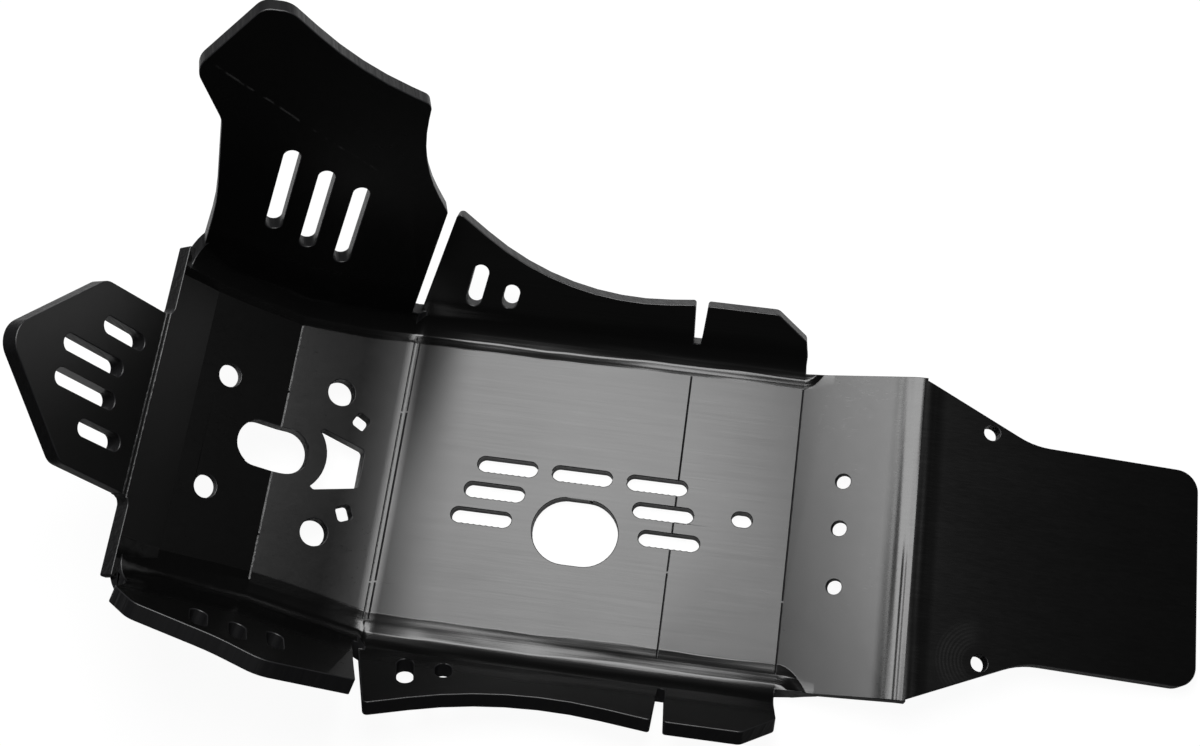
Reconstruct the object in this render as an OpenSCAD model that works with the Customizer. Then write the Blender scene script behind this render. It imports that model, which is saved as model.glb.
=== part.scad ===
// Skid plate for an enduro motorcycle, routed from one plastic sheet and heat folded.
// The plate guards the engine cradle from below. +X points to the front wheel, +Y to the
// rider's left and +Z up. The origin is on the underside, in the middle of the main floor.
// Every length along a panel is measured on its inner face, from fold to fold.

/* [Sheet] */
// Thickness of the sheet
sheet = 8; // [6:0.5:10]
// Width between the fold lines of the side wings
fold_width = 170; // [160:1:190]
// Distance from a wing's fold line to where its bend runs out into the flat
bend_reach = 9.5; // [8:0.5:12]

/* [Floor] */
// Length of the flat main floor under the engine
main_len = 149; // [140:1:180]
// Length of the flat rear floor
rear_len = 60; // [55:1:80]
// Length of the ramp under the frame's cross tube
ramp_len = 62.5; // [55:0.5:75]
// Rise of the ramp, in degrees
ramp_angle = 17.3; // [10:0.1:20]
// Distance from the wings' fold line to the ramp's edge, on each side
ramp_inset = 1; // [0:0.5:4]

/* [Linkage tongue] */
// Length of the tongue under the suspension linkage
tongue_len = 148.5; // [130:0.5:170]
// Fall of the tongue, in degrees
tongue_angle = 7.2; // [3:0.1:9]
// Width of the tongue at its end
tongue_width = 112.5; // [104:0.5:125]
// Distance from the ramp at which the tongue's tapered sides end
taper_len = 61; // [56:1:75]
// Radius of the tongue's end corners
tongue_corner = 11; // [2:0.5:20]
// Outer radius of the bend between ramp and tongue
tongue_bend = 30; // [12:1:40]

/* [Front rise] */
// Length of the first rising panel
rise1_len = 62; // [58:1:75]
// Slope of the first rising panel, in degrees
rise1_angle = 25.6; // [20:0.1:30]
// Length of the second rising panel
rise2_len = 49.5; // [47:0.5:60]
// Slope of the second rising panel, in degrees
rise2_angle = 40.2; // [36:0.1:44]
// Length of the front lip, up to its cut edge
lip_len = 24.3; // [20:0.1:30]
// Slope of the front lip, in degrees
lip_angle = 57.3; // [50:0.1:62]
// Distance by which each wing's fold line moves inward along the first rising panel
nose_inset = 7.4; // [4:0.1:10]
// Distance by which each fold line lies inward at the foot of the lip
lip_inset = 6.5; // [3:0.1:9]

/* [Front tab] */
// Length of the tab, from its crease to its tip
tab_len = 91; // [80:1:100]
// Slope of the tab, in degrees
tab_angle = 67.1; // [60:0.1:75]
// Distance from the lip's cut edge to the tab's crease
tab_crease = 3.2; // [2:0.1:6]
// Width of the tab
tab_width = 92; // [86:1:110]
// Length of the tab's straight sides
tab_side = 45; // [42:1:52]
// Radius of the tab's rounded tip
tab_tip = 11; // [4:0.5:16]
// Radius of the hollow corners beside the tab's root
tab_root = 5; // [2:0.5:7]
// Length of the tab's outer vent slots
tab_outer_slot = 29.2; // [20:0.1:32]
// Length of the tab's inner vent slots
tab_inner_slot = 40.7; // [30:0.1:44]
// Distance of the outer slots' middle from the tab's crease, and from its centre line
tab_outer_place = [25.5, 25.4]; // [20:0.1:32]
// Distance of the inner slots' middle from the tab's crease, and from its centre line
tab_inner_place = [41.2, 8.2]; // [7:0.1:46]

/* [Tall right front wing] */
// Height of the peak above the fold line
tall_peak = 178; // [168:1:190]
// Distance of the peak ahead of the main crease
tall_peak_x = 123; // [116:1:128]
// Height of the nose
tall_nose = 135; // [131:1:140]
// Height of the rear shoulder
tall_shoulder = 145.5; // [140:0.5:150]
// Distance of the rear shoulder ahead of the main crease
tall_shoulder_x = 40; // [34:1:46]
// Height at which the rear edge meets the slit
tall_hip = 82; // [76:1:86]
// Height of the hollow between hip and shoulder
tall_waist = 111; // [106:1:116]
// Height of the throat, where the front edge starts to lean forward
tall_throat = 62; // [56:1:68]
// Length of the vent slots
tall_slot = 51; // [30:1:56]
// Distance of the foremost slot's middle ahead of the main crease
tall_slot_place = 95; // [90:0.5:98]
// Distance between the slots
tall_slot_pitch = 19.4; // [16:0.1:21]
// Heights of the slots' middles, from front to rear
tall_slot_heights = [76.9, 68.5, 62.2]; // [56:0.1:80]

/* [Low left front wing] */
// Height of the wing's highest corner above the fold line
low_peak = 80.5; // [76:0.5:95]
// Distance of that corner ahead of the main crease
low_peak_x = 58; // [50:1:66]
// Height of the front corner
low_nose = 61; // [58:0.5:64]
// Height at which the top edge meets the slit
low_hip = 66; // [60:0.5:74]
// Height of the chin, below the front corner
low_chin = 46; // [43:0.5:49]
// Length of the vent slots
low_slot = 21; // [14:0.5:24]
// Distance of the foremost slot's middle ahead of the main crease
low_slot_place = 87.8; // [84:0.1:92]
// Distance between the slots
low_slot_pitch = 18.9; // [16:0.1:20]
// Heights of the slots' middles, from front to rear
low_slot_heights = [51.5, 52.5, 48.5]; // [44:0.1:56]

/* [Middle and rear wings] */
// Fold angle of the middle and rear wings, in degrees
wing_angle = 44; // [35:0.5:55]
// Height of the right middle wing beside its slit
mid_right_peak = 68; // [60:0.5:75]
// Height of the left middle wing beside its slit
mid_left_peak = 50.5; // [46:0.5:58]
// Height of both middle wings at their rear end
mid_tail = 31.5; // [29:0.5:36]
// Height of the right rear wing
rear_right_height = 31.5; // [28:0.5:36]
// Height of the left rear wing
rear_left_height = 34.5; // [28:0.5:36]
// Length of the right middle wing's vent slot
mid_right_slot = 24; // [16:0.5:26]
// Length of the left middle wing's vent slot
mid_left_slot = 19; // [14:0.5:20]
// Right vent slot's place: behind the main crease, and above the fold line
mid_right_place = [30, 28]; // [24:0.5:34]
// Left vent slot's place: behind the main crease, and above the fold line
mid_left_place = [27, 22]; // [20:0.5:30]
// Place of the short slot behind each of them: further back, and lower
mid_short_step = [18.3, 4.3]; // [4:0.1:20]
// Height of the middle wings' top edge at its lowest point
mid_hollow = 23.5; // [22:0.1:26]

/* [Slits] */
// Width of the slits between the front and middle wings
front_slit = 6.5; // [4:0.5:9]
// Width of the slits between the middle and rear wings
rear_slit = 4; // [3:0.5:6]
// Distance by which the left rear wing sits further back than the right one
left_setback = 3; // [0:0.5:4]
// Distance over which the right side's bend runs out, behind its rear wing
right_run_out = 16; // [12:1:24]
// Distance over which the left side's bend runs out
left_run_out = 20; // [12:1:24]
// Width of the creases' grooves
groove = 0.8; // [0.4:0.1:1.2]
// Depth of the creases' grooves
groove_depth = 0.6; // [0.3:0.1:1]

/* [Drains and vents] */
// Width of the floor slots
slot_width = 8; // [6:0.5:10]
// Length of the floor slots
slot_len = 31.8; // [26:0.2:34]
// Distance of the first floor slot behind the main crease, middle to crease
slot_place = 59.3; // [50:0.1:62]
// Distance between the floor slots along the floor
slot_pitch_x = 39.5; // [37:0.5:44]
// Distance between the rows of floor slots
slot_pitch_y = 14.3; // [12:0.1:16]
// Distance by which each row of floor slots is moved along the floor from the last
slot_stagger = 4.8; // [3:0.1:6]
// Distance between the cutter's steps along the slots' left edges
cutter_step = 3.2; // [2.6:0.1:4]
// Length of the big oval drain
drain_len = 44.8; // [40:0.2:50]
// Width of the big oval drain
drain_width = 35.4; // [30:0.2:38]
// Distance of the big drain behind the main crease, middle to crease
drain_place = 99.1; // [95:0.1:102]
// Distance of the big drain to the left of the centre plane
drain_side = 16.9; // [16:0.1:18]
// Length of the small oval in the rear floor
small_oval_len = 10.6; // [9:0.2:14]
// Distance of the small oval behind the rear crease
small_oval_place = 35; // [30:0.5:42]
// Length of the oval in the front rise
nose_slot_len = 38.6; // [30:0.2:42]
// Width of the oval in the front rise
nose_slot_width = 23.8; // [18:0.2:26]
// Part of that oval's length that lies behind the crease of the rise
nose_slot_back = 16.2; // [12:0.2:18]
// Distance of the five-sided vent ahead of the main crease
fan_place = 17; // [14:0.5:20]
// Width of the five-sided vent at its rear edge
fan_back_width = 20.6; // [16:0.2:23]
// Width of the five-sided vent at its front
fan_front_width = 32.4; // [29:0.2:36]
// Width of the vent slots in wings and tab
vent_width = 8.4; // [6:0.2:10]

/* [Bolt holes] */
// Radius of the ramp's bolt holes
ramp_hole = 3.9; // [3:0.1:5]
// Distance of the ramp's bolt holes behind the ramp's crease
ramp_hole_place = 25.4; // [20:0.1:32]
// Sideways places of the ramp's bolt holes, from right to left
ramp_hole_sides = [-25.7, -0.6, 29.8]; // [-60:0.1:60]
// Radius of the tongue's bolt holes
tongue_hole = 4.2; // [3:0.1:5]
// Distance of the tongue's bolt holes behind the tongue's bend
tongue_hole_place = 38.4; // [34:0.1:44]
// Distance of the tongue's bolt holes from its tapered sides, measured across
tongue_hole_margin = 6.8; // [6:0.1:14]
// Radius of the front bolt holes
front_hole = 5.9; // [4:0.1:7]
// Distance of the front bolt holes ahead of the rise's crease
front_hole_place = 33.7; // [30:0.1:36]
// Distance between the front bolt holes
front_hole_gap = 58.3; // [50:0.1:70]
// Radius of the large access holes
access_hole = 7.15; // [5:0.05:9]
// Distance of the large access holes ahead of the main crease
access_place = 35; // [30:0.5:40]
// Distance between the large access holes
access_gap = 75.6; // [70:0.1:84]
// Width of the small square holes
square_hole = 7.8; // [6:0.1:9]
// Distance of the small square holes ahead of the main crease
square_place = 21.6; // [18:0.1:23]
// Distance between the small square holes
square_gap = 49.6; // [46:0.1:52]
// Radius of the recesses for the bolt heads
head_recess = 9; // [8:0.5:11]
// Depth of the recesses for the bolt heads, below
head_depth = 4.5; // [2:0.5:5]

/* [Hidden] */
$fn = 36;
fold_y = fold_width / 2;
// solids that join run this far into each other
lap = 1;
// a bend's ends lie this far under the faces that they run into
sink = 0.05;
// straight pieces in each wing's bend
bend_steps = 8;
// inner radius of the creases across the floor
crease = 0.5;
front_x = main_len / 2;
back_x = -main_len / 2;
ramp_width = fold_width - 2 * ramp_inset;
nose_width = fold_width - 2 * nose_inset;
lip_width = fold_width - 2 * lip_inset;

// Folded profile: each panel starts at its fold and slopes in its own direction, in X and Z
fold_main = [front_x, sheet];
fold_rise = fold_main + rise1_len * [cos(rise1_angle), sin(rise1_angle)];
fold_lip = fold_rise + rise2_len * [cos(rise2_angle), sin(rise2_angle)];
fold_tab = fold_lip + (lip_len + tab_crease) * [cos(lip_angle), sin(lip_angle)];
tab_end = fold_tab + tab_len * [cos(tab_angle), sin(tab_angle)];
fold_ramp = [back_x - rear_len, sheet];
fold_tongue = fold_ramp + ramp_len * [-cos(ramp_angle), sin(ramp_angle)];
tongue_end = fold_tongue + tongue_len * [-cos(tongue_angle), -sin(tongue_angle)];

// Geometry of outlines and arcs
function unit(v) = v / norm(v);
function flip(list) = [for (i = [len(list) - 1 : -1 : 0]) list[i]];
function turn_left(v) = [-v.y, v.x];

// Points of the fillet of radius r in corner b, between its neighbours a and c
function corner_arc(a, b, c, r) =
    let (to_a = unit(a - b),
         to_c = unit(c - b),
         half = acos(max(-1, min(1, to_a * to_c))) / 2,
         share = r > 45 ? 0.8 : 0.48,
         reach = min(r / tan(half), share * norm(a - b), share * norm(c - b)),
         radius = reach * tan(half),
         centre = b + unit(to_a + to_c) * radius / sin(half),
         start = b + to_a * reach - centre,
         sweep = (180 - 2 * half) * sign(cross(b - a, c - b)),
         steps = max(2, ceil(abs(sweep) / 6)))
    [for (i = [0 : steps])
        let (t = sweep * i / steps)
        centre + [start.x * cos(t) - start.y * sin(t), start.x * sin(t) + start.y * cos(t)]];

// Closed outline through corners [x, y, radius]; radius 0 keeps a corner sharp
function rounded(corners) =
    let (n = len(corners), at = [for (k = corners) [k.x, k.y]])
    [for (i = [0 : n - 1])
        for (q = corners[i].z > 0
            ? corner_arc(at[(i + n - 1) % n], at[i], at[(i + 1) % n], corners[i].z)
            : [at[i]]) q];

// Outline of a stadium of given length and width, drawn along x
module stadium(length, width) {
    square([length - width, width], center = true);
    for (end = [-1, 1])
        translate([end * (length - width) / 2, 0])
            circle(d = width);
}

// Frames: children are drawn in a panel's own plane, with z = 0 on its inner face
module at_profile(point, slope) {
    translate([point.x, 0, point.y])
        rotate([0, -slope, 0])
            children();
}

module in_frame(origin, along, up) {
    inward = cross(along, up);
    multmatrix([[along.x, up.x, inward.x, origin.x],
                [along.y, up.y, inward.y, origin.y],
                [along.z, up.z, inward.z, origin.z],
                [0, 0, 0, 1]])
        children();
}

module slab(extra = 0) {
    translate([0, 0, -sheet - extra])
        linear_extrude(sheet + 2 * extra)
            children();
}

// Corner of the sheet's profile: the inner and outer fillets share their centre
function profile_corner(at, from, to, depth, inner_radius) =
    let (before = unit(at - from),
         after = unit(to - at),
         mitre = unit(turn_left(before) + turn_left(after)),
         corner = at - mitre * depth / (mitre * turn_left(before)))
    corner_arc(corner - before * 40, corner, corner + after * 40, inner_radius);

// Profile points at a depth below the inner face, from the tongue's end to the tab's tip
function profile_side(depth) =
    let (p = [tongue_end, fold_tongue, fold_ramp, fold_main, fold_rise, fold_lip, fold_tab, tab_end],
         last = len(p) - 1,
         first_dir = unit(p[1] - p[0]),
         last_dir = unit(p[last] - p[last - 1]))
    concat(
        [p[0] - turn_left(first_dir) * depth],
        profile_corner(p[1], p[0], p[2], depth, tongue_bend - depth),
        [for (i = [2 : last - 1])
            for (q = profile_corner(p[i], p[i - 1], p[i + 1], depth, crease + depth)) q],
        [p[last] - turn_left(last_dir) * depth]);

module folded_strip() {
    rotate([90, 0, 0])
        linear_extrude(2 * fold_width, center = true)
            polygon(concat(profile_side(0), flip(profile_side(sheet))));
}

// Fold lines of the left wings, as points in space; the right wings mirror them
wing_main = [front_x, fold_y, sheet];
wing_rise = [fold_rise.x, nose_width / 2, fold_rise.y];
wing_lip = [fold_lip.x, lip_width / 2, fold_lip.y];
// the front wing is one flat plane, so the first three fold points set it
front_along = unit(wing_rise - wing_main);
front_out = unit(cross(wing_lip - wing_rise, wing_rise - wing_main));
front_up = cross(front_along, front_out);
lip_slope = [cos(lip_angle), 0, sin(lip_angle)];
// the lip's fold line is where its plane meets the front wing's plane
lip_drift = -(front_out * lip_slope) / front_out.y;
band_end = lip_len - 3.5;
wing_nose = wing_lip + band_end * (lip_slope + [0, lip_drift, 0]);

// A point of space in the front wing's own plane
function in_wing(p) = [(p - wing_main) * front_along, (p - wing_main) * front_up];

// Directions square to a fold line: outward in a floor panel, and up in the front wing
function up_wing(dir) = unit(cross(dir, front_out));
main_up = [0, cos(wing_angle), sin(wing_angle)];
rise_dir = unit(wing_rise - wing_main);
nose_dir = unit(wing_lip - wing_rise);
rise_normal = [-sin(rise1_angle), 0, cos(rise1_angle)];
rise_out = unit(cross(rise_normal, rise_dir));
outward = [0, 1, 0];

// Section of a bend: inner arc, then outer arc back, all in the plane of out and up
function bend_section(start, out, normal, radius, sweep, skin = 0) =
    let (ring = function(t, depth)
            start + radius * (sin(t) * out + (1 - cos(t)) * normal)
            - depth * (cos(t) * normal - sin(t) * out))
    concat(
        [for (i = [0 : bend_steps])
            ring(sweep * i / bend_steps, skin + (i == 0 || i == bend_steps ? sink : 0))],
        [for (i = [bend_steps : -1 : 0])
            ring(sweep * i / bend_steps, sheet - skin + (i == 0 ? -sink : i == bend_steps ? sink : 0))]);

// Full section at a point of the fold line, from the floor panel to the wing
function fold_section(at, out, up) =
    let (sweep = acos(out * up),
         normal = unit(up - (out * up) * out),
         radius = bend_reach / tan(sweep / 2))
    bend_section(at - bend_reach * out, out, normal, radius, sweep);

module loft(sections) {
    n = len(sections[0]);
    count = len(sections);
    sides = [for (s = [0 : count - 2]) for (i = [0 : n - 1])
        let (j = (i + 1) % n, a = s * n, b = (s + 1) * n)
        for (tri = [[a + i, b + i, b + j], [a + i, b + j, a + j]]) tri];
    half = n / 2;
    cap = [for (i = [0 : half - 2]) for (tri = [[i, i + 1, n - 1 - i], [i + 1, n - 2 - i, n - 1 - i]]) tri];
    last = (count - 1) * n;
    polyhedron(
        points = [for (s = sections) for (q = s) q],
        faces = concat(sides, cap, [for (tri = cap) [tri.x + last, tri.z + last, tri.y + last]]),
        convexity = 6);
}

// The bend along all three left wings, from the front lip to the end of the rear wing
module side_bend() {
    slit_half = front_slit / 2;
    wing_front = fold_section(wing_main + slit_half * rise_dir, rise_out, up_wing(rise_dir));
    at_crease = fold_section(wing_main, outward, unit(up_wing(rise_dir) + main_up));
    loft([
        fold_section(wing_nose, outward, up_wing(lip_slope)),
        fold_section(wing_lip, outward, up_wing(unit(nose_dir + lip_slope))),
        fold_section(wing_rise, outward, up_wing(unit(rise_dir + nose_dir))),
        wing_front,
        at_crease,
        fold_section([front_x - slit_half, fold_y, sheet], outward, main_up),
        fold_section([fold_ramp.x, fold_y, sheet], outward, main_up)]);
}

// Behind the rear wing the bend flattens out into the ramp's straight edge
main_radius = bend_reach / tan(wing_angle / 2);
ramp_edge = ramp_width / 2 - (fold_y - bend_reach);
module side_run_out(run_out) {
    ramp_dir = [-cos(ramp_angle), 0, sin(ramp_angle)];
    ramp_normal = [sin(ramp_angle), 0, cos(ramp_angle)];
    foot = [fold_ramp.x, fold_y - bend_reach, sheet];
    loft([for (k = [[-1.5, 1, 0.05], [0, 1, 0], [0.35, 0.72, 0], [0.7, 0.28, 0], [1, 0.03, 0]])
        let (past = k.x > 0 ? k.x * run_out : 0,
             start = k.x < 0 ? foot - [k.x, 0, 0] : foot + past * ramp_dir,
             normal = k.x > 0 ? ramp_normal : k.x < 0 ? [0, 0, 1] : unit([0, 0, 1] + ramp_normal),
             radius = main_radius / k.y)
        bend_section(start, outward, normal, radius, ramp_edge / radius * 180 / PI, k.z)]);
}

// Plan of the floor between the bends, seen from above
module floor_plan() {
    half = function(run_out) [
        [fold_tongue.x - 6, ramp_width / 2],
        [fold_ramp.x - (run_out - lap) * cos(ramp_angle), ramp_width / 2],
        [fold_ramp.x - (run_out - lap) * cos(ramp_angle), fold_y - bend_reach + lap],
        [front_x, fold_y - bend_reach + lap],
        [fold_rise.x, nose_width / 2 - bend_reach + lap],
        [fold_lip.x, lip_width / 2 - bend_reach + lap],
        [wing_nose.x, wing_nose.y - bend_reach + lap]];
    polygon(concat(half(left_run_out), flip([for (q = half(right_run_out)) [q.x, -q.y]])));
}

// Outlines of the lip, the tab and the tongue, each in its own plane
module lip_outline() {
    top_y = wing_nose.y - bend_reach + lap;
    foot_y = lip_width / 2 - bend_reach + lap;
    root = tab_width / 2;
    half = [
        [-2 * sheet, foot_y, 0],
        [band_end, top_y, 0],
        [band_end, wing_nose.y + 2.5, 0],
        [lip_len, wing_nose.y + 2.5, 1],
        [lip_len, root, tab_root],
        [lip_len + 30, root, 0]];
    polygon(rounded(concat(half, flip([for (q = half) [q.x, -q.y, q.z]]))));
}

module tab_outline() {
    root = tab_width / 2;
    polygon(rounded([
        [-6, root, 0],
        [-6, -root, 0],
        [tab_side, -root + 1, 9],
        [tab_len + 3.6, 0, tab_tip],
        [tab_side, root - 1, 9]]));
}

module tongue_outline() {
    end_y = tongue_width / 2;
    start_y = ramp_width / 2;
    half = [
        [6, start_y, 0],
        [0, start_y, 8],
        [-taper_len, end_y, 40],
        [-tongue_len, end_y, tongue_corner]];
    polygon(rounded(concat(half, flip([for (q = half) [q.x, -q.y, q.z]]))));
}

module folded_floor() {
    intersection() {
        folded_strip();
        union() {
            linear_extrude(fold_lip.y + 40)
                intersection() {
                    floor_plan();
                    translate([fold_tongue.x - 3, -fold_width])
                        square([fold_lip.x - fold_tongue.x + 3, 2 * fold_width]);
                }
            at_profile(fold_lip, lip_angle)
                slab(8)
                    intersection() {
                        lip_outline();
                        translate([-2 * sheet, -fold_width])
                            square([2 * sheet + lip_len + tab_crease + lap, 2 * fold_width]);
                    }
            at_profile(fold_tab, tab_angle)
                slab(2)
                    tab_outline();
            at_profile(fold_tongue, tongue_angle)
                slab(12)
                    tongue_outline();
        }
    }
}

// A point of the wings' foot: where the bend ends, less the lap
function bend_edge(at, up) = in_wing(at + (bend_reach - lap) * up);

// the front wings' foot starts this far ahead of the main crease
foot_back = front_slit / 2 + 4;

// Foot of a front wing, along the upper end of its bend, from front to rear
function front_foot() = [
    bend_edge(wing_nose, up_wing(lip_slope)) + [lap, 0],
    bend_edge(wing_lip, up_wing(unit(nose_dir + lip_slope))),
    bend_edge(wing_rise, up_wing(unit(rise_dir + nose_dir))),
    bend_edge(wing_main + foot_back * rise_dir, up_wing(rise_dir))];

function with_radius(points, r) = [for (q = points) [q.x, q.y, r]];

module front_wing(outline, slots, slot_len, slot_tilt) {
    in_frame(wing_main, front_along, front_up)
        slab()
            difference() {
                polygon(rounded(concat(with_radius(front_foot(), 0), outline)));
                for (at = slots)
                    translate(at)
                        rotate(slot_tilt)
                            stadium(slot_len, vent_width);
            }
}

// Middles of a front wing's slots, from front to rear
function slot_row(place, pitch, heights) =
    [for (i = [0 : len(heights) - 1]) [place - i * pitch, heights[i]]];

// The right front wing reaches far up beside the engine's covers
module tall_front_wing() {
    front_wing(
        [[foot_back + 4, tall_hip, 3],
         [tall_shoulder_x - 4.5, tall_waist, 90],
         [tall_shoulder_x, tall_shoulder, 5],
         [tall_peak_x - 45, tall_shoulder + 9.5, 180],
         [tall_peak_x - 6, tall_peak + 1.5, 12],
         [tall_peak_x + 6.5, tall_peak, 8],
         [tall_peak_x + 28, tall_nose + 3, 11],
         [tall_peak_x + 10, tall_nose - 23, 14],
         [in_wing(wing_nose).x - 3, tall_throat, 120]],
        slot_row(tall_slot_place, tall_slot_pitch, tall_slot_heights), tall_slot, 87.5);
}

// The left front wing is low, to clear the shift lever
module low_front_wing() {
    front_wing(
        [[foot_back + 4, low_hip, 1.5],
         [low_peak_x, low_peak, 16],
         [low_peak_x + 22, low_peak - 11, 60],
         [low_peak_x + 61, low_nose - 0.5, 9],
         [in_wing(wing_nose).x + 1, low_chin, 3],
         [in_wing(wing_nose).x - 4, low_chin - 8, 6]],
        slot_row(low_slot_place, low_slot_pitch, low_slot_heights), low_slot, 88);
}

// Middle and rear wings are drawn with x forward, from the main crease
module flat_wing(corners) {
    in_frame(wing_main, [1, 0, 0], main_up)
        slab()
            polygon(rounded(corners));
}

// The top edge of a middle wing sags to its hollow; two slots lie beside the front slit
module middle_wing(peak, setback, slot, place) {
    foot = bend_reach - lap;
    lean = 0.3 * (peak - foot);
    rear = -main_len + rear_slit / 4 - setback;
    sag = -main_len / 2 - 3.5;
    short_slot = slot * 0.57;
    difference() {
        flat_wing([
            [0, foot, 0],
            [-lean, peak, 2.5],
            [sag, mid_hollow, 175],
            [rear + 1, mid_tail + setback, 1.5],
            [rear, foot, 0]]);
        in_frame(wing_main, [1, 0, 0], main_up)
            slab(1)
                for (i = [0, 1])
                    translate([-place.x - i * mid_short_step.x, place.y - i * mid_short_step.y])
                        rotate(102)
                            stadium(i == 0 ? slot : short_slot, vent_width);
    }
}

module rear_wing(height, setback) {
    foot = bend_reach - lap;
    front = -main_len - rear_slit * 0.75 - setback;
    rear = -main_len - rear_len - setback;
    flat_wing([
        [front, foot, 0],
        [front - 1.5, height, 1.5],
        [rear + 18, height, 5],
        [rear + 1.5, height - 13.5, 3],
        [-main_len - rear_len, foot, 0]]);
}

module right_side() {
    mirror([0, 1, 0]) {
        side_bend();
        side_run_out(right_run_out);
        tall_front_wing();
        middle_wing(mid_right_peak, 0, mid_right_slot, mid_right_place);
        rear_wing(rear_right_height, 0);
    }
}

module left_side() {
    side_bend();
    side_run_out(left_run_out);
    low_front_wing();
    middle_wing(mid_left_peak, left_setback, mid_left_slot, mid_left_place);
    rear_wing(rear_left_height, left_setback);
}

// Creases: thin grooves in the inner face, each cut in strokes that leave a bridge between them
bridge = 0.9;
module crease_groove(point, slope, offset, length, bridges = []) {
    ends = concat([-length / 2 - bridge / 2], bridges, [length / 2 + bridge / 2]);
    at_profile(point, slope)
        for (i = [0 : len(ends) - 2])
            translate([offset - groove / 2, ends[i] + bridge / 2, -groove_depth])
                cube([groove, ends[i + 1] - ends[i] - bridge, groove_depth + 3]);
}

module creases() {
    inner_width = fold_width - 2 * bend_reach;
    crease_groove(fold_main, 0, -1.3, inner_width, [-inner_width * 0.24, inner_width * 0.37]);
    crease_groove(fold_main, rise1_angle, 1.3, inner_width, [-inner_width * 0.235, inner_width * 0.375]);
    crease_groove(fold_rise, rise2_angle, 0.3, nose_width - 2 * bend_reach, [-nose_width * 0.2, nose_width * 0.29]);
    crease_groove([back_x, sheet], 0, 0, inner_width, [inner_width * 0.21]);
    crease_groove(fold_ramp, 0, 0.2, inner_width, [inner_width * 0.26]);
    crease_groove(fold_tab, lip_angle, -1.2, 2 * tab_width);
    crease_groove(fold_tab, tab_angle, 1.3, 2 * tab_width);
}

// Holes, each cut square to its panel; places run forward from the panel's fold
module pierce(point, slope, at) {
    at_profile(point, slope)
        translate([at.x, at.y, -sheet - 4])
            linear_extrude(sheet + 8)
                children();
}

module bolt_hole(point, slope, at, radius) {
    at_profile(point, slope)
        translate([at.x, at.y, -sheet]) {
            translate([0, 0, -4])
                cylinder(h = sheet + 8, r = radius);
            translate([0, 0, -4])
                cylinder(h = head_depth + 4, r = head_recess);
        }
}

// A floor slot; the cutter's plunges leave small scallops along its left edge
module floor_slot() {
    run = slot_len - slot_width;
    steps = floor(run / cutter_step);
    scallop = 0.3;
    stadium(slot_len, slot_width);
    for (i = [0 : steps])
        translate([(i - steps / 2) * cutter_step, scallop])
            circle(d = slot_width);
}

module floor_drains() {
    // rows from the right side to the left; their slots step round the big drain
    first = front_x - slot_place;
    // the rows lie a little to the left of the centre plane
    middle_y = 1;
    for (row = [0 : 2])
        for (column = row == 0 ? [0, 1, 2] : [0, 2])
            let (stagger = column == 0 ? slot_stagger : -slot_stagger)
                pierce([0, sheet], 0, [
                    first - column * slot_pitch_x + row * stagger,
                    middle_y + (row - 1) * slot_pitch_y])
                    floor_slot();
    pierce([0, sheet], 0, [front_x - drain_place, drain_side])
        stadium(drain_len, drain_width);
    pierce([0, sheet], 0, [back_x - small_oval_place, -0.7])
        stadium(small_oval_len, slot_width);
}

// The five-sided vent is hollow at the front, round the end of the nose slot
module nose_fan(slot_end) {
    back = fan_back_width / 2;
    front = fan_front_width / 2;
    difference() {
        polygon(rounded([
            [fan_place, -back, 2.5],
            [fan_place, back, 2.5],
            [slot_end - 6, front, 2],
            [slot_end - 2.5, front - 2.7, 2],
            [slot_end - 2.5, 2.7 - front, 2],
            [slot_end - 6, -front, 2]]));
        translate([slot_end + nose_slot_width / 2, 0])
            circle(nose_slot_width / 2 + 10);
    }
}

module nose_holes() {
    half = square_hole / 2;
    for (slope = [rise1_angle, rise2_angle])
        pierce(fold_rise, slope, [nose_slot_len / 2 - nose_slot_back, 0])
            stadium(nose_slot_len, nose_slot_width);
    pierce(fold_main, rise1_angle, [0, 0])
        nose_fan(rise1_len - nose_slot_back);
    for (side = [-1, 1]) {
        pierce(fold_main, rise1_angle, [access_place, side * access_gap / 2])
            circle(access_hole);
        pierce(fold_main, rise1_angle, [square_place, side * square_gap / 2])
            rotate(side * 25)
                polygon(rounded([for (k = [[-1, -1], [1, -1], [1, 1], [-1, 1]]) [half * k.x, half * k.y, 2]]));
        bolt_hole(fold_rise, rise2_angle, [front_hole_place, side * front_hole_gap / 2], front_hole);
    }
}

module tab_slots() {
    for (side = [-1, 1]) {
        pierce(fold_tab, tab_angle, [tab_outer_place.x, side * tab_outer_place.y])
            stadium(tab_outer_slot, vent_width);
        pierce(fold_tab, tab_angle, [tab_inner_place.x, side * tab_inner_place.y])
            stadium(tab_inner_slot, vent_width);
    }
}

module rear_bolt_holes() {
    for (y = ramp_hole_sides)
        bolt_hole(fold_ramp, -ramp_angle, [-ramp_hole_place, y], ramp_hole);
    taper = (ramp_width - tongue_width) / 2 / taper_len;
    tongue_side = ramp_width / 2 - tongue_hole_place * taper - tongue_hole_margin;
    for (side = [-1, 1])
        pierce(fold_tongue, tongue_angle, [-tongue_hole_place, side * tongue_side])
            circle(tongue_hole);
}

module skid_plate() {
    color([0.06, 0.06, 0.065])
        difference() {
            union() {
                folded_floor();
                right_side();
                left_side();
            }
            creases();
            floor_drains();
            nose_holes();
            tab_slots();
            rear_bolt_holes();
        }
}

skid_plate();
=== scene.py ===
"""Looks of the motorcycle skid plate: a folded sheet of satin black polyethylene.

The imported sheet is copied, its cut edges are eased as a router and a scraper leave them, and
the copy gets a grained plastic finish, with glossy strips where it was heated and folded.
Lengths are metres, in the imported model's frame. Where something grows or fades over the
surface, a pair says where that starts and where it ends.
"""
import math

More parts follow.
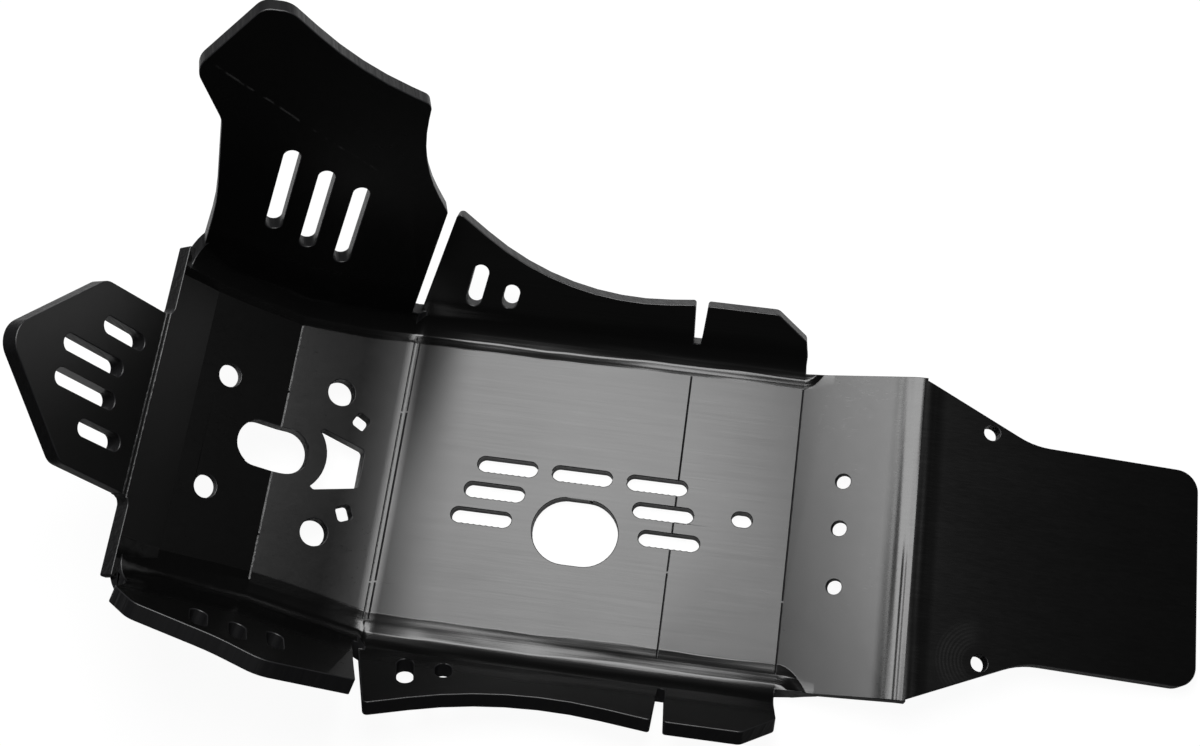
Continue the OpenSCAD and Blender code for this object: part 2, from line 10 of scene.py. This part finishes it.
import bmesh
import bpy
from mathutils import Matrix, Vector
from mathutils.bvhtree import BVHTree


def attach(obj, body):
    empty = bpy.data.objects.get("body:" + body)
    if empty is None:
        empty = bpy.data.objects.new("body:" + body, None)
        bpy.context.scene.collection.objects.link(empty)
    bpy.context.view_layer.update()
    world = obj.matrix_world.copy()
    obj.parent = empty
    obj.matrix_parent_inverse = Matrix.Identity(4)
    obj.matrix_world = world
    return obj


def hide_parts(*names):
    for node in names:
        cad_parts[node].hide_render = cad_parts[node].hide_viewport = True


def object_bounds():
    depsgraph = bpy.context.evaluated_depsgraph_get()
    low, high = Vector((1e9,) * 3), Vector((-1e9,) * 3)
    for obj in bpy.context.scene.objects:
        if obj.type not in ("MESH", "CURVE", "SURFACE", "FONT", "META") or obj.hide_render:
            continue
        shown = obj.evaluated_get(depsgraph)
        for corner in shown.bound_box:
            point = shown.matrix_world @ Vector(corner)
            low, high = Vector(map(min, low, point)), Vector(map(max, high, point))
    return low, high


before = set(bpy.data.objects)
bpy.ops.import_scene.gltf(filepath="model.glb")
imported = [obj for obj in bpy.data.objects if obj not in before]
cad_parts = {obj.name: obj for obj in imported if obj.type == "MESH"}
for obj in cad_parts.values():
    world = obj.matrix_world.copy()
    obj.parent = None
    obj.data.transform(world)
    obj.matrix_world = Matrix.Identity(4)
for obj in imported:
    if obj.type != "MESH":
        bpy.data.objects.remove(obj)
cad_low, cad_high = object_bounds()

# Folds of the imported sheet
SHEET = 0.008
MAIN_CREASE_X = 0.0745
RISE_CREASE_X = 0.1304
LIP_CREASE_X = 0.1682
RAMP_CREASE_X = -0.1345
TONGUE_BEND_X = -0.194
FOLD_LINE_Y = 0.085
NOSE_INSET = 0.0074
LIP_WIDENING = 0.0009
# Outer normal of the left front wing
WING_NORMAL = (0.298, 0.877, -0.377)
# How the front wings' inner faces close in forward and spread upward
WING_SWEEP = 0.34
WING_SPREAD = 0.43

# Eased edges and cut walls
EASED_EDGE = 0.0004
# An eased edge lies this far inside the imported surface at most
EASED_REACH = 0.00017
# A face belongs to the sheet where the sheet behind it is this close to its full thickness
THICKNESS_SLACK = 0.0004
# Shallower cuts than this are the creases' grooves, whose edges stay crisp
GROOVE_LIMIT = 0.001
# How nearly the far side of the sheet faces away from its near side
FACING_AWAY = -0.95
# So many of a face's triangles are tried, from the largest down
TRIANGLES_TRIED = 3
RAY_START = 0.00001
WELD_DISTANCE = 0.00001
FLAT_ANGLE = math.radians(0.5)
SHARP_ANGLE = math.radians(28)
BEVEL_SEGMENTS = 2
NORMAL_WEIGHT = 90

# Grooves of the creases
GROOVE_WIDTH = 0.0008
GROOVE_WIDEST = 1.3 * GROOVE_WIDTH
GROOVE_DEPTH = 0.0006
GROOVE_SLACK = 0.00012
GROOVE_CLOSING = 0.96
GROOVE_FLARE = 0.00015
# A groove's floor is level from side to side, and looks up
LEVEL_LIMIT = 0.99
UPWARD_LIMIT = 0.3
# At the rise's crease the groove leans forward, and its rear wall catches the light
LEANING_NEAR = 0.003
GROOVE_LEAN = 0.5

# Materials of the plate, by the number that its faces carry
SHEET_FACE = 0
CUT_FACE = 1
EASED_FACE = 2

# Noise patterns: repeats per metre along X, Y and Z, then detail and roughness
GRAIN = ((28, 1300, 1300), 3.0, 0.6)
STREAKS = ((7, 300, 300), 2.0, 0.5)
CLOUDS = ((18, 22, 22), 3.0, 0.55)
STRIP_WANDER = ((14, 5, 0), 2.0, 0.5)
STRIP_STREAKS = ((6, 330, 330), 2.0, 0.55)
STRIP_RIPPLE = ((14, 120, 120), 1.0, 0.5)
BAR_RIPPLE = ((150, 5, 0), 1.0, 0.5)
DRAG_WANDER = ((30, 30, 30), 2.0, 0.5)
DRAG_GAPS = ((150, 150, 150), 2.0, 0.6)
FLOOR_FLUTES = ((420, 420, 30), 2.0, 0.6)
WING_FLUTES = ((300, 300, 12), 2.0, 0.6)
NICKS = ((300, 300, 300), 3.0, 0.6)

# Heated strips along the wings' bends
STRIP_EDGE = 0.0004
STRIP_FADE = (0.009, 0.014)
STRIP_WANDERING = 0.005
STRIP_STREAK_HEIGHT = 0.00006
STRIP_RIPPLE_HEIGHT = 0.0003
# Turns of each strip's surface, outward from the fold line: start, end and change of slope
RIGHT_START = 0.0095
RIGHT_TURNS = [
    (-0.0097, -0.0095, -0.50), (-0.0095, -0.0091, 0.30), (-0.0091, -0.0054, -0.16),
    (-0.0054, -0.0042, 0.46), (-0.0042, -0.0010, -0.10)]
LEFT_START = 0.0135
LEFT_TURNS = [
    (-0.0137, -0.0135, -0.45), (-0.0135, -0.0131, 0.36), (-0.0095, -0.0036, -0.24),
    (-0.0036, -0.0026, 0.33)]
# How fast each strip curves out behind the ramp's crease
RIGHT_CURL = 87
LEFT_CURL = 55

# Slow curve behind and ahead of the main crease, and the fringe beside its grooves
BEHIND_REACH = 0.034
AHEAD_REACH = 0.024
AHEAD_RISE = 0.0020
FRINGE_REACH = 0.0055
FRINGE_RISE = 0.0004
# The curve behind the crease sags more on the right than on the left
SAG_SIDES = (-0.08, 0.03)
RIGHT_SAG = 0.0034
LEFT_SAG = 0.0013
CURVE_FADE = (0.088, 0.125)

# Bend of the tongue round a bar, with the bar's seam on its left part
BAR_FADE = (0.003, 0.014)
BAR_RIPPLE_HEIGHT = 0.0008
SEAM_BEGINS = (-0.01, 0.02)
SEAM_OFFSET = 0.0022
SEAM_WIDTH = 0.0018
SEAM_DEPTH = 0.00028

# Rings rubbed round one tongue hole
SCUFFED_HOLE = (-0.2318, 0.0597)
RINGS_BEGIN = (0.006, 0.010)
RINGS_FADE = (0.018, 0.024)
RINGS_SIDE = (-0.002, 0.006)
RING_HEIGHT = 0.00001
# Radians of the rings' wave per metre
RING_WAVE = 3400
# Middle of the sheet's thickness at that hole, and the tongue's slope
TONGUE_MIDDLE_Z = 0.0178
TONGUE_SLOPE = 0.126

# Drag mark on the tall wing: its foot in X and Z, its length in X and its slope
DRAG_FOOT = (0.0862, 0.1098)
DRAG_LENGTH = 0.070
DRAG_SLOPE = 1.107
DRAG_WIDTH = (0.0002, 0.0010)
DRAG_WANDERING = 0.004
DRAG_BREAKS = (0.44, 0.62)
DRAG_BEGINS = (0.0, 0.006)
DRAG_FADE = (DRAG_LENGTH - 0.004, DRAG_LENGTH)
# The tall wing lies to the right of this
TALL_WING_Y = -0.115

# Colours and refraction of the plastic
SHEET_GREY = 0.002
DRAG_GREY = 0.025
CUT_COLOR = (0.006, 0.006, 0.0066, 1.0)
EASED_COLOR = (0.012, 0.012, 0.013, 1.0)
PLASTIC_IOR = 1.54

# Roughness of the sheet, and how much each pattern and mark changes it
SHEET_ROUGHNESS = 0.30
GRAIN_ROUGHNESS = 0.10
STREAK_ROUGHNESS = 0.03
CLOUD_ROUGHNESS = 0.05
STRIP_ROUGHNESS = 0.20
BAR_GLOSS = 0.06
SCUFF_ROUGHNESS = 0.05
DRAG_ROUGHNESS = 0.2
GRAIN_HEIGHT = 0.000006
CLOUD_HEIGHT = 0.00012

# Roughness and height of the cut walls and of the eased edges
CUT_ROUGHNESS = 0.44
FLUTE_ROUGHNESS = 0.16
FLUTE_HEIGHT = 0.0005
WING_BEGINS = (0.004, 0.006)
EASED_ROUGHNESS = 0.4
NICK_ROUGHNESS = 0.2
NICK_HEIGHT = 0.00008
NICK_STRENGTH = 0.5

# Camera, fitted to the photograph's 1200 x 746 frame
CAMERA_PLACE = (-0.0852, 0.2181, 0.8424)
CAMERA_TURN = (math.radians(20.397), math.radians(1.187), math.radians(-172.256))
FOCAL_PIXELS = 1654.5
FRAME_WIDTH = 1200
FRAME_HEIGHT = 746
VIEW_CENTRE = (605.0, 345.3)
SENSOR_WIDTH = 36.0
CLIP_END = 20.0

# Studio
SOFTBOX_PLACE = (0.04, -0.24, 0.75)
SOFTBOX_SIZE = (0.46, 0.6)
SOFTBOX_POWER = 6.9
WHITE = (1, 1, 1, 1)
WALL_LEVEL = 0.02
FLOOR_SIZE = 6.0
# The plate mirrors a floor that is pale on its right and dark on its left
FLOOR_SIDES = (-0.05, 0.2)
FLOOR_PALE = 0.85
FLOOR_DARK = 0.04
# The camera sees a white floor that takes only a little shadow
PAPER_COLOR = (0.1, 0.1, 0.1, 1.0)
PAPER_GLOW = 0.95


class Value:
    """A number in a shader: arithmetic on values adds the Math nodes that work it out."""

    def __init__(self, shader, socket):
        self.shader = shader
        self.socket = socket

    def _math(self, operation, *inputs):
        return self.shader.node("ShaderNodeMath", {"operation": operation}, dict(enumerate(inputs)))

    def __add__(self, other):
        return self._math("ADD", self, other)

    __radd__ = __add__

    def __sub__(self, other):
        return self._math("SUBTRACT", self, other)

    def __rsub__(self, other):
        return self._math("SUBTRACT", other, self)

    def __mul__(self, other):
        return self._math("MULTIPLY", self, other)

    __rmul__ = __mul__

    def __truediv__(self, other):
        return self._math("DIVIDE", self, other)

    def power(self, exponent):
        return self._math("POWER", self, exponent)

    def absolute(self):
        return self._math("ABSOLUTE", self)

    def sine(self):
        return self._math("SINE", self)

    def above(self, limit):
        return self._math("GREATER_THAN", self, limit)

    def at_least(self, limit):
        return self._math("MAXIMUM", self, limit)

    def clamped(self):
        return self._math("MINIMUM", self, 1.0).at_least(0.0)


class Shader:
    """Node tree of a material or a world."""

    def __init__(self, owner):
        self.owner = owner
        owner.use_nodes = True
        self.tree = owner.node_tree
        self.tree.nodes.clear()

    def node(self, kind, settings=None, inputs=None, output=0):
        """Adds a node: its settings first, then the values or links of its sockets."""
        made = self.tree.nodes.new(kind)
        for name, value in (settings or {}).items():
            setattr(made, name, value)
        for name, value in (inputs or {}).items():
            if isinstance(value, Value):
                self.tree.links.new(value.socket, made.inputs[name])
            else:
                made.inputs[name].default_value = value
        return Value(self, made.outputs[output]) if made.outputs else None

    def place(self):
        return self.node("ShaderNodeTexCoord", output="Object")

    def parts(self, place):
        """The place's X, Y and Z."""
        first = self.node("ShaderNodeSeparateXYZ", None, {"Vector": place})
        return [Value(self, socket) for socket in first.socket.node.outputs]

    def turned(self, place, rotation):
        return self.node("ShaderNodeMapping", None, {"Vector": place, "Rotation": rotation})

    def pattern(self, place, kind):
        """One of the noise patterns above."""
        repeats, detail, roughness = kind
        scaled = self.node("ShaderNodeMapping", None, {"Vector": place, "Scale": repeats})
        inputs = {"Vector": scaled, "Scale": 1.0, "Detail": detail, "Roughness": roughness}
        return self.node("ShaderNodeTexNoise", None, inputs)

    def centred(self, place, kind):
        """A noise pattern about zero."""
        return self.pattern(place, kind) - 0.5

    def span(self, value, low, high, to_low=0.0, to_high=1.0):
        """Carries value from the range low..high to another range, smoothly, and stops at its ends."""
        settings = {"interpolation_type": "SMOOTHSTEP", "clamp": True}
        inputs = {"Value": value, "From Min": low, "From Max": high, "To Min": to_low, "To Max": to_high}
        return self.node("ShaderNodeMapRange", settings, inputs)

    def fade(self, value, low, high):
        """One up to low, and nothing from high on."""
        return self.span(value, low, high, 1.0, 0.0)

    def bent(self, value, turns):
        """Height over value, from its (start, end, change) turns: slope changes evenly within each."""
        height = 0.0
        for start, end, change in turns:
            length = end - start
            turned = ((value - start) / length).clamped()
            straight = (value - end).at_least(0.0)
            height = height + (turned * turned * (length / 2) + straight) * change
        return height

    def bump(self, height, distance, strength=1.0):
        inputs = {"Height": height, "Distance": distance, "Strength": strength}
        return self.node("ShaderNodeBump", None, inputs)

    def plastic(self, color, roughness, normal):
        """Ends a material of the plate."""
        inputs = {"Base Color": color, "Roughness": roughness, "IOR": PLASTIC_IOR, "Normal": normal}
        surface = self.node("ShaderNodeBsdfPrincipled", None, inputs)
        self.node("ShaderNodeOutputMaterial", None, {"Surface": surface})
        return self.owner


def fold_distance(x, side):
    """Distance outward from the wings' fold line, which closes in along the front rise."""
    rise = ((x - MAIN_CREASE_X) / (RISE_CREASE_X - MAIN_CREASE_X)).clamped()
    nose = ((x - RISE_CREASE_X) / (LIP_CREASE_X - RISE_CREASE_X)).clamped()
    return side + rise * NOSE_INSET - nose * LIP_WIDENING - FOLD_LINE_Y


def bend_surface(shader, place, x, y):
    """Height and mask of the heated strips: sunk beside the fold, with a crisp wandering edge."""
    left = y.above(0.0)
    wander = shader.centred(place, STRIP_WANDER)
    behind = (RAMP_CREASE_X - x).clamped()
    curl = RIGHT_CURL - left * (RIGHT_CURL - LEFT_CURL)
    out = fold_distance(x, y.absolute()) + wander * STRIP_WANDERING - behind * behind * curl
    right_height = shader.bent(out, RIGHT_TURNS)
    left_height = shader.bent(out, LEFT_TURNS)
    start = RIGHT_START + left * (LEFT_START - RIGHT_START)
    mask = shader.span(out + start, -STRIP_EDGE, STRIP_EDGE) * shader.fade(out, *STRIP_FADE)
    streaks = shader.pattern(place, STRIP_STREAKS)
    ripple = shader.pattern(place, STRIP_RIPPLE)
    height = right_height * (1 - left) + left_height * left
    return height + mask * (streaks * STRIP_STREAK_HEIGHT + ripple * STRIP_RIPPLE_HEIGHT), mask


def crease_surface(shader, x, y):
    """Slow curve of the sheet on both sides of the main crease, with a fringe beside its grooves."""
    behind = 1 - ((MAIN_CREASE_X - x) / BEHIND_REACH).clamped()
    ahead = 1 - ((x - MAIN_CREASE_X) / AHEAD_REACH).clamped()
    fringe = 1 - ((x - MAIN_CREASE_X).absolute() / FRINGE_REACH).clamped()
    sag = shader.span(y, *SAG_SIDES, RIGHT_SAG, LEFT_SAG)
    curve = ahead * ahead * AHEAD_RISE - behind * behind * sag + fringe * fringe * FRINGE_RISE
    return curve * shader.fade(y.absolute(), *CURVE_FADE)


def tongue_bend_surface(shader, place, x, y):
    """Ripples across the ramp, where the sheet was bent round a bar, and the bar's seam."""
    mask = shader.fade((x - TONGUE_BEND_X).absolute(), *BAR_FADE)
    ripple = shader.pattern(place, BAR_RIPPLE)
    across = (x - TONGUE_BEND_X - SEAM_OFFSET).absolute()
    seam = shader.span(y, *SEAM_BEGINS) * shader.fade(across, 0.0, SEAM_WIDTH)
    return ripple * mask * BAR_RIPPLE_HEIGHT - seam * SEAM_DEPTH, mask


def scuff_rings(shader, x, y, z):
    """Fine rings that a turning bolt head has rubbed round the left tongue hole, on its inner face."""
    away_x = x - SCUFFED_HOLE[0]
    away_y = y - SCUFFED_HOLE[1]
    radius = (away_x * away_x + away_y * away_y).power(0.5)
    mask = shader.span(radius, *RINGS_BEGIN) * shader.fade(radius, *RINGS_FADE)
    inner_face = (z - TONGUE_MIDDLE_Z - away_x * TONGUE_SLOPE).above(0.0)
    mask = mask * shader.span(away_x, *RINGS_SIDE) * inner_face
    return (radius * RING_WAVE).sine() * mask * RING_HEIGHT, mask


def drag_mark(shader, place, x, y, z):
    """A faint broken scuff that runs up the tall wing's inner face."""
    wander = shader.centred(place, DRAG_WANDER)
    along = x - DRAG_FOOT[0]
    across = (z - DRAG_FOOT[1] - along * DRAG_SLOPE + wander * DRAG_WANDERING).absolute()
    mark = shader.fade(across, *DRAG_WIDTH) * shader.span(shader.pattern(place, DRAG_GAPS), *DRAG_BREAKS)
    depth = FOLD_LINE_Y - (x - MAIN_CREASE_X) * WING_SWEEP + (z - SHEET) * WING_SPREAD + y
    tall_wing = (TALL_WING_Y - y).above(0.0) * (depth + SHEET / 2).above(0.0)
    return mark * tall_wing * shader.span(along, *DRAG_BEGINS) * shader.fade(along, *DRAG_FADE)


def make_sheet_plastic():
    """Extruded black polyethylene: fine lengthwise grain, faint waves and glossy heated strips."""
    shader = Shader(bpy.data.materials.new("black_polyethylene"))
    place = shader.place()
    x, y, z = shader.parts(place)
    grain = shader.pattern(place, GRAIN)
    streaks = shader.pattern(place, STREAKS)
    clouds = shader.pattern(place, CLOUDS)
    bend, strip = bend_surface(shader, place, x, y)
    bar, bar_strip = tongue_bend_surface(shader, place, x, y)
    rings, scuffed = scuff_rings(shader, x, y, z)
    dragged = drag_mark(shader, place, x, y, z)
    flat = 1 - strip
    roughness = SHEET_ROUGHNESS + (grain - 0.5) * GRAIN_ROUGHNESS
    roughness = roughness + (streaks - 0.5) * STREAK_ROUGHNESS + (clouds - 0.5) * CLOUD_ROUGHNESS
    roughness = roughness * flat + STRIP_ROUGHNESS * strip - bar_strip * BAR_GLOSS
    roughness = roughness + scuffed * SCUFF_ROUGHNESS + dragged * DRAG_ROUGHNESS
    height = bend + bar + rings + crease_surface(shader, x, y)
    height = height + grain * flat * GRAIN_HEIGHT + clouds * CLOUD_HEIGHT
    return shader.plastic(SHEET_GREY + dragged * DRAG_GREY, roughness, shader.bump(height, 1.0))


def make_cut_plastic():
    """Routed walls: duller than the sheet's face, with the cutter's flutes across the edge."""
    shader = Shader(bpy.data.materials.new("routed_polyethylene"))
    x, y, z = shader.parts(shader.place())
    # the right side is folded over the left, so one pattern serves both
    side = y.absolute()
    place = shader.node("ShaderNodeCombineXYZ", None, {0: x, 1: side, 2: z})
    on_wing = shader.span(fold_distance(x, side), *WING_BEGINS)
    turn = Vector(WING_NORMAL).rotation_difference(Vector((0, 0, 1))).to_euler()
    floor_flutes = shader.pattern(place, FLOOR_FLUTES)
    wing_flutes = shader.pattern(shader.turned(place, turn), WING_FLUTES)
    flutes = floor_flutes * (1 - on_wing) + wing_flutes * on_wing
    roughness = CUT_ROUGHNESS + (flutes - 0.5) * FLUTE_ROUGHNESS
    return shader.plastic(CUT_COLOR, roughness, shader.bump(flutes, FLUTE_HEIGHT))


def make_eased_plastic():
    """The scraped edges between the sheet's faces and its cut walls."""
    shader = Shader(bpy.data.materials.new("scraped_polyethylene"))
    nicks = shader.pattern(shader.place(), NICKS)
    roughness = EASED_ROUGHNESS + (nicks - 0.5) * NICK_ROUGHNESS
    return shader.plastic(EASED_COLOR, roughness, shader.bump(nicks, NICK_HEIGHT, NICK_STRENGTH))


def depth_behind(tree, place, normal):
    """Thickness behind a place on the surface, and which way the far side faces."""
    _, far_normal, _, depth = tree.ray_cast(place - normal * RAY_START, -normal)
    return depth, far_normal


def sheet_faces(bm):
    """Faces of the sheet itself, which have the sheet's thickness behind them; the rest are cut."""
    tree = BVHTree.FromBMesh(bm)
    triangles = {}
    for corners in bm.calc_loop_triangles():
        points = [corner.vert.co for corner in corners]
        area = (points[1] - points[0]).cross(points[2] - points[0]).length
        centre = (points[0] + points[1] + points[2]) / 3
        triangles.setdefault(corners[0].face, []).append((area, centre))
    found = set()
    for face, parts in triangles.items():
        parts.sort(key=lambda part: -part[0])
        for _, centre in parts[:TRIANGLES_TRIED]:
            depth, far_normal = depth_behind(tree, centre, face.normal)
            if not depth or abs(depth - SHEET) >= THICKNESS_SLACK:
                continue
            if far_normal.dot(face.normal) < FACING_AWAY:
                found.add(face)
                break
    return found


def sharpen_grooves(bm):
    """Draws the creases' flat-bottomed grooves to a flared V, as the folding tool leaves them."""
    tree = BVHTree.FromBMesh(bm)
    floor_depth = SHEET - GROOVE_DEPTH
    moves = {}
    for face in bm.faces:
        across = Vector((0, 1, 0)).cross(face.normal)
        if across.length < LEVEL_LIMIT or face.normal.z < UPWARD_LIMIT:
            continue
        centre = face.calc_center_median()
        depth, _ = depth_behind(tree, centre, face.normal)
        if not depth or abs(depth - floor_depth) > GROOVE_SLACK:
            continue
        places = [vert.co.dot(across) for vert in face.verts]
        width = max(places) - min(places)
        if width > GROOVE_WIDEST:
            continue
        middle = (max(places) + min(places)) / 2
        lean = GROOVE_LEAN if abs(centre.x - RISE_CREASE_X) < LEANING_NEAR else 0.0
        for vert in face.verts:
            moves[vert] = across * (middle + lean * width - vert.co.dot(across)) * GROOVE_CLOSING
        rim = {vert for edge in face.edges for wall in edge.link_faces for vert in wall.verts}
        for vert in rim.difference(face.verts):
            moves[vert] = across * math.copysign(GROOVE_FLARE, vert.co.dot(across) - middle)
    for vert, move in moves.items():
        vert.co += move


def mark_cuts(bm):
    """Gives the cut walls their own material, and marks the edges that a scraper has eased."""
    sheet = sheet_faces(bm)
    eased = bm.edges.layers.float.new("bevel_weight_edge")
    for face in bm.faces:
        face.smooth = True
        face.material_index = SHEET_FACE if face in sheet else CUT_FACE
    sharpen_grooves(bm)
    for edge in bm.edges:
        skin = [face for face in edge.link_faces if face in sheet]
        cut = [face for face in edge.link_faces if face not in sheet]
        if len(skin) != 1 or len(cut) != 1:
            continue
        place = edge.verts[0].co
        depth = max(abs((vert.co - place).dot(skin[0].normal)) for vert in cut[0].verts)
        if depth > GROOVE_LIMIT:
            edge[eased] = 1.0


def packed_sheet():
    """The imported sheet's mesh, ready to be edited."""
    bm = bmesh.new()
    bm.from_mesh(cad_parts["skid_plate"].data)
    return bm


def make_sheet_copy():
    """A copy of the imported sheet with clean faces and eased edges."""
    bm = packed_sheet()
    bmesh.ops.remove_doubles(bm, verts=bm.verts, dist=WELD_DISTANCE)
    bmesh.ops.dissolve_limit(bm, angle_limit=FLAT_ANGLE, verts=bm.verts, edges=bm.edges)
    mark_cuts(bm)
    mesh = bpy.data.meshes.new("plate")
    bm.to_mesh(mesh)
    bm.free()
    mesh.set_sharp_from_angle(angle=SHARP_ANGLE)
    piece = bpy.data.objects.new("plate", mesh)
    bpy.context.scene.collection.objects.link(piece)
    edge = piece.modifiers.new("edge", "BEVEL")
    edge.width = EASED_EDGE
    edge.segments = BEVEL_SEGMENTS
    edge.limit_method = "WEIGHT"
    edge.use_clamp_overlap = False
    edge.material = EASED_FACE
    flat = piece.modifiers.new("flat", "WEIGHTED_NORMAL")
    flat.keep_sharp = True
    flat.weight = NORMAL_WEIGHT
    for material in (make_sheet_plastic(), make_cut_plastic(), make_eased_plastic()):
        mesh.materials.append(material)
    settle(piece)
    pull_in(piece.data)
    return piece


def settle(piece):
    """Applies the piece's modifiers, so that its mesh is its final one."""
    bpy.context.view_layer.update()
    evaluated = piece.evaluated_get(bpy.context.evaluated_depsgraph_get())
    mesh = bpy.data.meshes.new_from_object(evaluated)
    piece.modifiers.clear()
    piece.data = mesh


def pull_in(mesh):
    """Puts back the corners that the easing has thrown off the sheet, where folds meet a cut."""
    bm = packed_sheet()
    tree = BVHTree.FromBMesh(bm)
    bm.free()
    for vert in mesh.vertices:
        nearest, normal, _, away = tree.find_nearest(vert.co)
        outside = (vert.co - nearest).dot(normal)
        if away > EASED_REACH or outside > EASED_REACH / 4:
            vert.co = nearest


def make_camera():
    """The photograph's camera: above the plate, a little to its left and rear."""
    data = bpy.data.cameras.new("camera")
    data.sensor_width = SENSOR_WIDTH
    data.lens = FOCAL_PIXELS / FRAME_WIDTH * SENSOR_WIDTH
    data.shift_x = (FRAME_WIDTH / 2 - VIEW_CENTRE[0]) / FRAME_WIDTH
    data.shift_y = (VIEW_CENTRE[1] - FRAME_HEIGHT / 2) / FRAME_WIDTH
    data.clip_end = CLIP_END
    camera = bpy.data.objects.new("camera", data)
    camera.location = CAMERA_PLACE
    camera.rotation_euler = CAMERA_TURN
    bpy.context.scene.collection.objects.link(camera)
    bpy.context.scene.camera = camera


def make_softbox():
    """The one lamp: a soft box that faces the frame's origin."""
    data = bpy.data.lights.new("main_softbox", "AREA")
    data.shape = "RECTANGLE"
    data.size, data.size_y = SOFTBOX_SIZE
    data.energy = SOFTBOX_POWER
    lamp = bpy.data.objects.new("main_softbox", data)
    lamp.location = SOFTBOX_PLACE
    lamp.rotation_euler = (-Vector(SOFTBOX_PLACE)).to_track_quat("-Z", "Y").to_euler()
    bpy.context.scene.collection.objects.link(lamp)


def make_world():
    """Dim studio walls, which the camera sees as white."""
    shader = Shader(bpy.data.worlds.new("studio"))
    walls = shader.node("ShaderNodeBackground", None, {"Color": WHITE, "Strength": WALL_LEVEL})
    white = shader.node("ShaderNodeBackground", None, {"Color": WHITE, "Strength": 1.0})
    camera_ray = shader.node("ShaderNodeLightPath", output="Is Camera Ray")
    seen = shader.node("ShaderNodeMixShader", None, {0: camera_ray, 1: walls, 2: white})
    shader.node("ShaderNodeOutputWorld", None, {"Surface": seen})
    bpy.context.scene.world = shader.owner


def make_floor():
    """The pale studio floor; it is white to the camera, apart from the plate's faint shadow."""
    mesh = bpy.data.meshes.new("floor")
    half = FLOOR_SIZE / 2
    corners = [(-half, -half), (half, -half), (half, half), (-half, half)]
    mesh.from_pydata([(x, y, cad_low[2]) for x, y in corners], [], [(0, 1, 2, 3)])
    floor = bpy.data.objects.new("floor", mesh)
    bpy.context.scene.collection.objects.link(floor)
    shader = Shader(bpy.data.materials.new("pale_floor"))
    _, side, _ = shader.parts(shader.place())
    ramp = shader.node("ShaderNodeValToRGB", None, {"Fac": shader.span(side, *FLOOR_SIDES)})
    stops = ramp.socket.node.color_ramp.elements
    for stop, grey in zip(stops, (FLOOR_PALE, FLOOR_DARK)):
        stop.color = (grey, grey, grey, 1.0)
    mirrored = shader.node("ShaderNodeBsdfDiffuse", None, {"Color": ramp})
    paper = shader.node("ShaderNodeBsdfDiffuse", None, {"Color": PAPER_COLOR})
    glow = shader.node("ShaderNodeEmission", None, {"Strength": PAPER_GLOW})
    white = shader.node("ShaderNodeAddShader", None, {0: paper, 1: glow})
    camera_ray = shader.node("ShaderNodeLightPath", output="Is Camera Ray")
    seen = shader.node("ShaderNodeMixShader", None, {0: camera_ray, 1: mirrored, 2: white})
    shader.node("ShaderNodeOutputMaterial", None, {"Surface": seen})
    mesh.materials.append(shader.owner)


make_camera()
plate = make_sheet_copy()
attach(plate, "root")
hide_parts("skid_plate")
make_softbox()
make_world()
make_floor()
bpy.context.scene.view_settings.view_transform = "Standard"
